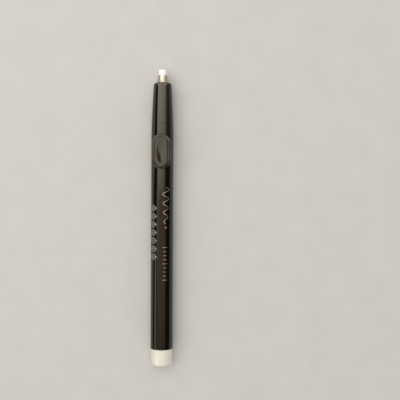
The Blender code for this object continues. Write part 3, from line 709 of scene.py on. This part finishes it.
def make_clip(name, side, material):
    """A hook that keeps the pad in its frame, on the pen's right (side 1) or left (side -1)."""
    inner, outer, barb = 3.25, 3.75, 4.35  # in millimetres from the middle
    under, tip, chamfer = 6.0, 2.3, 0.06  # in millimetres over the axis
    outline = [
        (inner, under),
        (inner, tip + chamfer),
        (inner + chamfer, tip),
        (3.92, tip),
        (4.04, tip + chamfer),
        (4.33, 2.74),
        (barb, 2.9),
        (4.28, 3.0),
        (3.85, 3.02),
        (outer, 3.12),
        (outer, 5.85),
        (3.85, under),
    ]
    back, front, bevel, blunt = 125.12 * MM, 128.28 * MM, 0.08 * MM, 0.94
    narrowed_to = 3.6 * MM  # where the blunt ends draw in to
    rings = []
    for height, scale in ((back, blunt), (back + bevel, 1), (front - bevel, 1), (front, blunt)):
        ring = [(mix(narrowed_to, x * MM, scale), up * MM) for x, up in outline]
        rings.append([upright(side * x, up, height) for x, up in ring])
    place(loft(f"button_clip_{name}", rings, closed=False, cap=True), "button", "button", material)


def make_cells(sleeve, metal, seal):
    """Two AAA cells: a film sleeve shrunk over each end, a pip, a seal ring and a dished base."""
    film = 0.12 * MM
    for node in ("rear_cell", "front_cell"):
        back, front = span(node)
        radius = half_width(node)
        drop = Matrix.Translation((0, 0, middle(node, "z") - AXIS))
        wrap = [
            (radius - 1.15 * MM, front - 0.78 * MM),
            (radius - 0.5 * MM, front - 0.76 * MM, 0.2 * MM),
            (radius, front - 1.35 * MM, 0.5 * MM),
            (radius, back + 0.6 * MM, 0.5 * MM),
            (radius - 0.4 * MM, back + 0.02 * MM, 0.2 * MM),
            (radius - 0.95 * MM, back + 0.04 * MM),
            (radius - 0.95 * MM, back + film),
            (radius - 0.3 * MM, back + 0.6 * MM),
            (radius - film, back + 1.0 * MM),
            (radius - film, front - 1.6 * MM),
            (radius - 0.6 * MM, front - 0.9 * MM),
            (radius - 1.15 * MM, front - 0.86 * MM),
        ]
        pip = [
            (0, front),
            (1.9 * MM, front, 0.2 * MM),
            (1.95 * MM, front - 0.95 * MM, 0.15 * MM),
            (2.9 * MM, front - 1.0 * MM, 0.1 * MM),
            (2.9 * MM, front - 1.2 * MM),
            (0, front - 1.2 * MM),
        ]
        ring = [
            (2.6 * MM, front - 0.9 * MM),
            (3.9 * MM, front - 0.92 * MM),
            (3.9 * MM, front - 1.1 * MM),
            (2.6 * MM, front - 1.1 * MM),
        ]
        base = [
            (0, back + 0.2 * MM),
            (3.4 * MM, back + 0.2 * MM, 0.3 * MM),
            (3.7 * MM, back + 0.03 * MM, 0.1 * MM),
            (4.15 * MM, back + 0.06 * MM, 0.1 * MM),
            (4.5 * MM, back + 0.5 * MM),
            (0, back + 0.5 * MM),
        ]
        pieces = (
            ("sleeve", wrap, True, "cell", sleeve),
            ("pip", pip, False, "steel", metal),
            ("seal", ring, True, "acetal", seal),
            ("base", base, False, "steel", metal),
        )
        for part, corners, closed, slot, material in pieces:
            piece = lathe(f"{node}_{part}", rounded(corners, closed), closed=closed)
            piece.data.transform(drop)
            place(piece, "housing", slot, material, node)


def make_spring_seat(material):
    """A drawn cup with a turned-out lip."""
    floor, top = span("spring_seat")
    lip, outer, sheet = half_width("spring_seat"), 4.45 * MM, 0.25 * MM
    corners = [
        (0, floor),
        (outer, floor, 0.4 * MM),
        (outer, top - sheet, 0.12 * MM),
        (lip, top - sheet, 0.1 * MM),
        (lip, top, 0.1 * MM),
        (outer - sheet, top, 0.3 * MM),
        (outer - sheet, floor + sheet, 0.2 * MM),
        (0, floor + sheet),
    ]
    seat = lathe("spring_seat_cup", rounded(corners, closed=False), closed=False)
    place(seat, "cap_contact", "contact", material, "spring_seat")


def make_spring(material):
    """The conical tail spring, of round wire with a closed turn at each end."""
    wire, turns, section = 0.3 * MM, 6.5, 14
    low, high = span("tail_spring")
    bottom, top = low + wire, high - wire
    wide, narrow = half_width("tail_spring") - wire, 2.2 * MM
    end_turn, gap, steps = 1 / turns, 0.7 * MM, 320
    line = []
    for i in range(steps + 1):
        t = i / steps
        rise = min(1, max(0, (t - end_turn) / (1 - 2 * end_turn)))
        lift = gap * (min(t, end_turn) / end_turn + max(0, t - 1 + end_turn) / end_turn)
        height = bottom + (top - bottom - 2 * gap) * rise + lift
        angle = math.pi / 2 + 2 * math.pi * turns * t
        line.append(polar(wide + (narrow - wide) * t, height, angle))
    spin = [2 * math.pi * k / section for k in range(section)]
    rings = []
    for i, point in enumerate(line):
        heading = (line[min(i + 1, steps)] - line[max(i - 1, 0)]).normalized()
        side = heading.cross(Vector((0, 1, 0))).normalized()
        up = side.cross(heading)
        radius = wire * (0.75 if i in (0, steps) else 1)
        rings.append([point + (side * math.cos(a) + up * math.sin(a)) * radius for a in spin])
    spring = loft("spring_coil", rings, closed=False, cap=True)
    place(spring, "cap_contact", "steel", material, "tail_spring")


# ---- Printed marks ------------------------------------------------------------------------------


def face_order(face):
    """A number that puts the faces of a mesh in the same order on each run."""
    first, second, third = sorted(vert.index for vert in face.verts)[:3]
    return (first * 1e4 + second) * 1e4 + third


def print_marks(name, strips, material):
    """Lays strips of ink on the barrel. A strip is two rails of (arc length, height) points, in metres."""
    step, proud, sunk = 0.35 * MM, 0.012 * MM, 0.02 * MM
    bm = bmesh.new()
    for left, right, closed in strips:
        a, b = ([bm.verts.new((u, v, 0)) for u, v in rail] for rail in (left, right))
        for k in range(len(a) if closed else len(a) - 1):
            j = (k + 1) % len(a)
            bm.faces.new((a[k], a[j], b[j], b[k]))
    lowest, highest = min(v.co.x for v in bm.verts), max(v.co.x for v in bm.verts)
    for k in range(1, int((highest - lowest) / step) + 1):
        geometry = bm.verts[:] + bm.edges[:] + bm.faces[:]
        here = (lowest + k * step, 0, 0)
        bmesh.ops.bisect_plane(bm, geom=geometry, plane_co=here, plane_no=(1, 0, 0))
    for item in bmesh.ops.extrude_face_region(bm, geom=bm.faces[:])["geom"]:
        if isinstance(item, bmesh.types.BMVert):
            item.co.z = 1
    for v in bm.verts:
        radius = BODY_RADIUS + (proud if v.co.z else -sunk)
        v.co = polar(radius, v.co.y, v.co.x / BODY_RADIUS)
    bm.verts.index_update()
    bm.faces.sort(key=face_order)
    place(add(name, bm), "housing", "contact", material)


def bar(u, v, width, length):
    """A strip with its middle at arc length u and height v."""
    w, h = width / 2, length / 2
    return [(u - w, v - h), (u - w, v + h)], [(u + w, v - h), (u + w, v + h)], False


def lozenge(u, v, width, length, stroke):
    """A closed strip round a lozenge."""
    w, h = width / 2, length / 2
    inner = 1 - stroke / min(w, h)
    outline = [(-w, 0), (0, -h), (w, 0), (0, h)]
    return [(u + x, v + y) for x, y in outline], [(u + x * inner, v + y * inner) for x, y in outline], True


def wave(u, start, end, swing, turns, stroke):
    """A strip that weaves along the barrel, with its swing dying away towards the end."""
    rails = [], []
    steps, loss = turns * 24, 0.45
    for k in range(steps + 1):
        t = k / steps
        a, size = 2 * math.pi * turns * t, swing * (1 - loss * t)
        x, y = u + size * math.sin(a), start + (end - start) * t
        slope = Vector((size * math.cos(a) * 2 * math.pi * turns, end - start)).normalized() * stroke / 2
        rails[0].append((x - slope.y, y + slope.x))
        rails[1].append((x + slope.y, y - slope.x))
    return *rails, False


def around(degrees):
    """Arc length on the barrel from straight up towards +X."""
    return math.radians(degrees) * BODY_RADIUS


def make_marks(material):
    """Plain ornament where the barrel is printed: a weaving line, a row of lozenges and a scale of dashes."""
    start, end, dot = 106.0 * MM, 84.5 * MM, 0.9 * MM
    line = wave(around(26), start, end, 2.1 * MM, 4, 0.34 * MM)
    print_marks("print_wave", [line, bar(around(26), end - 2.1 * MM, dot, dot)], material)

    first, pitch = 93.8 * MM, 4.8 * MM
    column = []
    for k in range(7):
        spot = around(-42), first - k * pitch
        column += [lozenge(*spot, 5.0 * MM, 4.2 * MM, 0.7 * MM), bar(*spot, 1.5 * MM, 0.8 * MM)]
    print_marks("print_lozenges", column, material)

    first, pitch, stroke = 70.6 * MM, 2.4 * MM, 0.3 * MM
    dashes = []
    for k in range(9):
        width = (3.0 if k % 4 == 0 else 1.9) * MM
        dashes.append(bar(around(22), first - k * pitch, width, stroke))
    print_marks("print_scale", dashes, material)


# ---- Materials ----------------------------------------------------------------------------------


def record_colour(slot):
    """The base colour that the record gives a material slot."""
    return tuple(next(m["base_color"] for m in frame["record"]["materials"] if m["slot"] == slot))


def finish_nodes(material, *names):
    """Gives carried-over CAD nodes a finished material."""
    for name in names:
        for slot in frame["nodes"][name].material_slots:
            slot.material = material


GLOW = {"Subsurface_Weight": 0.1, "Subsurface_Scale": 0.001, "Subsurface_Radius": (1.0, 0.9, 0.75)}
BLACK = gloss_plastic("black_gloss", (0.0035, 0.0035, 0.0024), (0.0055, 0.005, 0.004), 0.09, 0.19)
BUTTON_BLACK = gloss_plastic("button_gloss", (0.005, 0.005, 0.0036), (0.008, 0.0075, 0.0055), 0.05, 0.11)
IVORY = satin_plastic("ivory_plastic", (0.79, 0.76, 0.68), (0.73, 0.695, 0.605), 0.28, 0.40, **GLOW)
NYLON = satin_plastic("natural_nylon", record_colour("nylon"), (0.5, 0.49, 0.45), 0.35, 0.5)
CHROME = turned_metal("satin_nickel", record_colour("chuck"), (0.34, 0.315, 0.265), 0.38, 0.5)
INK = turned_metal("silver_ink", (0.36, 0.355, 0.325), (0.26, 0.255, 0.23), 0.35, 0.5, 3000)
VINYL = vinyl()
ZINC = turned_metal("zinc_steel", record_colour("steel"), (0.44, 0.45, 0.46), 0.28, 0.42)
LAMINATED = turned_metal(
    "laminated_steel", record_colour("steel"), (0.30, 0.30, 0.31), 0.35, 0.55, lines=12000, depth=0.00001
)
WIRE = turned_metal("spring_steel", record_colour("steel"), (0.40, 0.40, 0.40), 0.22, 0.36, 900)
BRASS = turned_metal("turned_brass", record_colour("brass"), (0.55, 0.37, 0.15), 0.22, 0.38)
COPPER = turned_metal(
    "copper_winding", record_colour("copper"), (0.40, 0.15, 0.06), 0.25, 0.4, lines=7000, depth=0.00002
)
NICKEL = turned_metal("nickel_strip", record_colour("contact"), (0.52, 0.50, 0.44), 0.22, 0.4, 4000)
FERRITE = satin_plastic("sintered_ferrite", record_colour("magnet"), (0.045, 0.045, 0.05), 0.5, 0.7, 5200)
ACETAL = satin_plastic("black_acetal", record_colour("acetal"), (0.018, 0.018, 0.018), 0.34, 0.5)
SLEEVE = gloss_plastic("cell_sleeve", record_colour("cell"), (0.07, 0.10, 0.20), 0.2, 0.32)
RED_PVC = satin_plastic("red_insulation", record_colour("red_insulation"), (0.42, 0.02, 0.015), 0.32, 0.46)
BLACK_PVC = satin_plastic(
    "black_insulation", record_colour("black_insulation"), (0.012, 0.012, 0.012), 0.32, 0.46
)

make_barrel(BLACK)
make_nose(BLACK)
make_bush(NYLON)
make_bezel(BLACK)
make_button(BUTTON_BLACK)
make_cap(IVORY)
make_chuck(CHROME)
make_eraser(VINYL)
make_marks(INK)
make_plunger(BUTTON_BLACK)
make_clip("left", -1, BUTTON_BLACK)
make_clip("right", 1, BUTTON_BLACK)
make_cells(SLEEVE, ZINC, ACETAL)
make_spring_seat(NICKEL)
make_spring(WIRE)
finish_nodes(ZINC, "motor_can", "motor_screw_left", "motor_screw_right", "motor_shaft")
finish_nodes(LAMINATED, "rotor_core")
finish_nodes(COPPER, "rotor_coil_1", "rotor_coil_2", "rotor_coil_3")
finish_nodes(BRASS, "motor_front_bush", "motor_rear_bush", "brush_left", "brush_right")
finish_nodes(BRASS, "commutator", "chuck_hub")
finish_nodes(NICKEL, "switch_leaf", "switch_contact", "battery_contact", "return_strip")
finish_nodes(FERRITE, "magnet_upper", "magnet_lower")
finish_nodes(ACETAL, "motor_end_cap", "switch_carrier")
finish_nodes(NYLON, "motor_mount")
finish_nodes(RED_PVC, "red_lead")
finish_nodes(BLACK_PVC, "black_lead")


# ---- Floor, light and camera --------------------------------------------------------------------


def make_floor():
    """A wide sheet of pale paper under the pen."""
    bm = bmesh.new()
    bmesh.ops.create_grid(bm, x_segments=2, y_segments=2, size=3.0)
    floor = add("floor", bm, smooth=False)
    m = Recipe("floor_paper", (0.60, 0.59, 0.57), roughness=0.9, Specular_IOR_Level=0.0)
    m.colour(m.blend(m.fit(m.noise(60, 4), 0.35, 0.65), (0.61, 0.60, 0.58), (0.59, 0.58, 0.56)))
    m.bump(m.noise(1500, 3), 0.00001)
    floor.data.materials.append(m.material)


def make_world():
    world = bpy.data.worlds.new("room")
    world.use_nodes = True
    background = world.node_tree.nodes["Background"]
    background.inputs["Color"].default_value = (1.0, 0.985, 0.96, 1)
    background.inputs["Strength"].default_value = 0.52
    world.cycles_visibility.glossy = False
    bpy.context.scene.world = world


def make_key_light():
    """A large soft light overhead, a little to the left. The cards below make the reflections."""
    watts_per_square_metre = 4.9
    data = bpy.data.lights.new("overhead_box", "AREA")
    data.shape = "RECTANGLE"
    data.size, data.size_y = 1.7, 1.4
    data.energy = watts_per_square_metre * data.size * data.size_y
    data.color = (1.0, 0.965, 0.91)
    light = bpy.data.objects.new("overhead_box", data)
    bpy.context.scene.collection.objects.link(light)
    light.location = (-0.42, 0.35, 1.0)
    light.visible_camera = False
    light.visible_glossy = False


def card_mesh(name, corners):
    """A flat card, divided finely, with its own coordinates from 0 to 1 to the east and to the north."""
    bm = bmesh.new()
    steps = 12
    south_west, south_east, north_east, north_west = (Vector(c) for c in corners)
    uv = bm.loops.layers.uv.new("card")
    rows = []
    for j in range(steps + 1):
        west, east = south_west.lerp(north_west, j / steps), south_east.lerp(north_east, j / steps)
        rows.append([bm.verts.new(west.lerp(east, i / steps)) for i in range(steps + 1)])
    for j in range(steps):
        for i in range(steps):
            face = bm.faces.new((rows[j][i], rows[j][i + 1], rows[j + 1][i + 1], rows[j + 1][i]))
            for loop, (a, b) in zip(face.loops, ((i, j), (i + 1, j), (i + 1, j + 1), (i, j + 1))):
                loop[uv].uv = (a / steps, b / steps)
    return add(name, bm, smooth=False)


def card_glow(name, colour, strength, fall):
    """The glow of a card, which follows the two curves of fall over its width and its length."""
    material = bpy.data.materials.new(name)
    material.use_nodes = True
    tree = material.node_tree
    tree.nodes.clear()
    glow = add_node(tree, "ShaderNodeEmission", ("Color", (*colour, 1)), ("Strength", strength))
    add_node(tree, "ShaderNodeOutputMaterial", ("Surface", glow.outputs[0]))
    if not fall:
        return material
    place_on_card = add_node(tree, "ShaderNodeTexCoord").outputs["UV"]
    split = add_node(tree, "ShaderNodeSeparateXYZ", (0, place_on_card))
    shares = []
    for axis, values in enumerate(fall):
        curve = add_node(tree, "ShaderNodeFloatCurve", ("Value", split.outputs[axis]))
        points = curve.mapping.curves[0].points
        points[0].location, points[-1].location = (0, values[0]), (1, values[-1])
        for k, value in enumerate(values[1:-1], 1):
            points.new(k / (len(values) - 1), value)
        curve.mapping.update()
        shares.append(curve.outputs[0])
    both = add_node(tree, "ShaderNodeMath", (0, shares[0]), (1, shares[1]), operation="MULTIPLY")
    scaled = add_node(tree, "ShaderNodeMath", (0, both.outputs[0]), (1, strength), operation="MULTIPLY")
    tree.links.new(scaled.outputs[0], glow.inputs["Strength"])
    return material


def panel(name, corners, colour, strength, fall=None):
    """A glowing card that shows only in reflections.

    Its corners run south-west, south-east, north-east, north-west. fall is two rows of values for its
    brightness, from west to east and from south to north.
    """
    card = card_mesh(name, corners)
    card.data.materials.append(card_glow(name, colour, strength, fall))
    card.visible_camera = card.visible_diffuse = card.visible_shadow = False


SKY, BROWN, DUSK, COOL = (1.0, 0.95, 0.83), (1.0, 0.68, 0.48), (1.0, 0.5, 0.38), (0.90, 1.0, 0.93)


def overhead(south, south_ends, north, north_ends):
    """Corners of a card overhead, between the places south and north along the pen.

    Its west and east ends are given as degrees from straight up towards +X.
    """
    height = 1.0
    (a, b), (c, d) = ([height * math.tan(math.radians(e)) for e in ends] for ends in (south_ends, north_ends))
    return (a, south, height), (b, south, height), (d, north, height), (c, north, height)


def beside(x, south, north, low, high):
    """Corners of an upright card on the pen's left or right."""
    return (x, south, low), (x, south, high), (x, north, high), (x, north, low)


def level(*corners):
    """Corners of a card that lies level just under the camera's height, from (x, y) places."""
    height = 0.4
    return [(x, y, height) for x, y in corners]


def make_sky_cards():
    """The bright field overhead, which fades towards both sides, and the brown room to its south."""
    glow, dim = 4.4, (0.86, 0.95, 1, 0.93, 0.78, 0.58, 0.32)
    corners = overhead(0.03, (-44, 34), 0.42, (-52, 52))
    panel("sky_near", corners, SKY, glow, (dim, (0.56, 0.66, 0.80, 1)))
    corners = overhead(0.42, (-52, 52), 1.3, (-52, 52))
    panel("sky_far", corners, SKY, glow, (dim, (1, 1)))
    corners = overhead(-0.14, (-42, -35), 0.03, (-44, -30))
    panel("sky_edge", corners, SKY, 1.9)
    corners = overhead(-0.8, (-52, 44), 0.03, (-52, 44))
    dim = ((1, 1, 0.95, 0.9, 0.8), (0.3, 0.3, 0.3, 0.35, 0.42, 0.68, 0.78, 0.72))
    panel("room_panel", corners, BROWN, 1.25, dim)


def make_side_cards():
    """Cards for the reflections low on the pen's sides."""
    panel("right_wall", beside(1, 0.1, 1.2, 0.08, 1.0), SKY, 0.5, ((0.8, 1), (0, 1, 1)))
    panel("left_strip", beside(-1, -0.9, -0.09, 0.40, 0.58), COOL, 3.0)
    panel("left_card", beside(-1, 0.05, 0.65, 0.01, 0.12), COOL, 1.6)


def make_camera_cards():
    """Two small dim cards near the camera, whose reflection is the dark drop in the button's dish."""
    corners = level((-0.064, 0.087), (0.032, 0.065), (0.042, 0.096), (-0.065, 0.096))
    panel("camera_card", corners, DUSK, 0.6)
    corners = level((0.0279, 0.053), (0.040, 0.0605), (0.042, 0.070), (0.0245, 0.069))
    panel("strap_card", corners, DUSK, 0.6)


def make_low_cards():
    """Upright cards round the pen, for the views from the side."""
    south = ((-0.5, -1, 0.15), (0.5, -1, 0.15), (0.5, -1, 0.95), (-0.5, -1, 0.95))
    panel("south_card", south, SKY, 2.2)
    away, half, height = 0.62, 0.3, 0.62
    for name, x, y in (("north_east", away, away), ("north_west", -away, away), ("south_west", -away, -away)):
        across, up = Vector((y, -x, 0)).normalized() * half, Vector((0, 0, half))
        spot = Vector((x, y, height))
        corners = spot - across - up, spot + across - up, spot + across + up, spot - across + up
        panel(f"{name}_card", corners, SKY, 5.5)


def make_camera():
    """The photo's view: almost straight down, from a little to the right."""
    lean, roll, distance = math.radians(4.0), math.radians(0.25), 0.425
    aside, ahead = 0.0226, 0.0106  # from the pen's middle to the middle of the picture
    towards = Vector((math.sin(lean), 0, math.cos(lean)))
    right = Vector((math.cos(lean), 0, -math.sin(lean)))
    target = Vector((0, 0, AXIS)) + right * aside + Vector((0, ahead, 0))
    data = bpy.data.cameras.new("camera")
    data.lens = 64
    data.sensor_width = 36
    data.clip_start = 0.01
    camera = bpy.data.objects.new("camera", data)
    camera.location = target + towards * distance
    camera.rotation_euler = (Matrix.Rotation(lean, 3, "Y") @ Matrix.Rotation(roll, 3, "Z")).to_euler()
    bpy.context.scene.collection.objects.link(camera)
    bpy.context.scene.camera = camera


make_floor()
make_world()
make_key_light()
make_sky_cards()
make_side_cards()
make_camera_cards()
make_low_cards()
make_camera()
bpy.context.scene.view_settings.view_transform = "Standard"
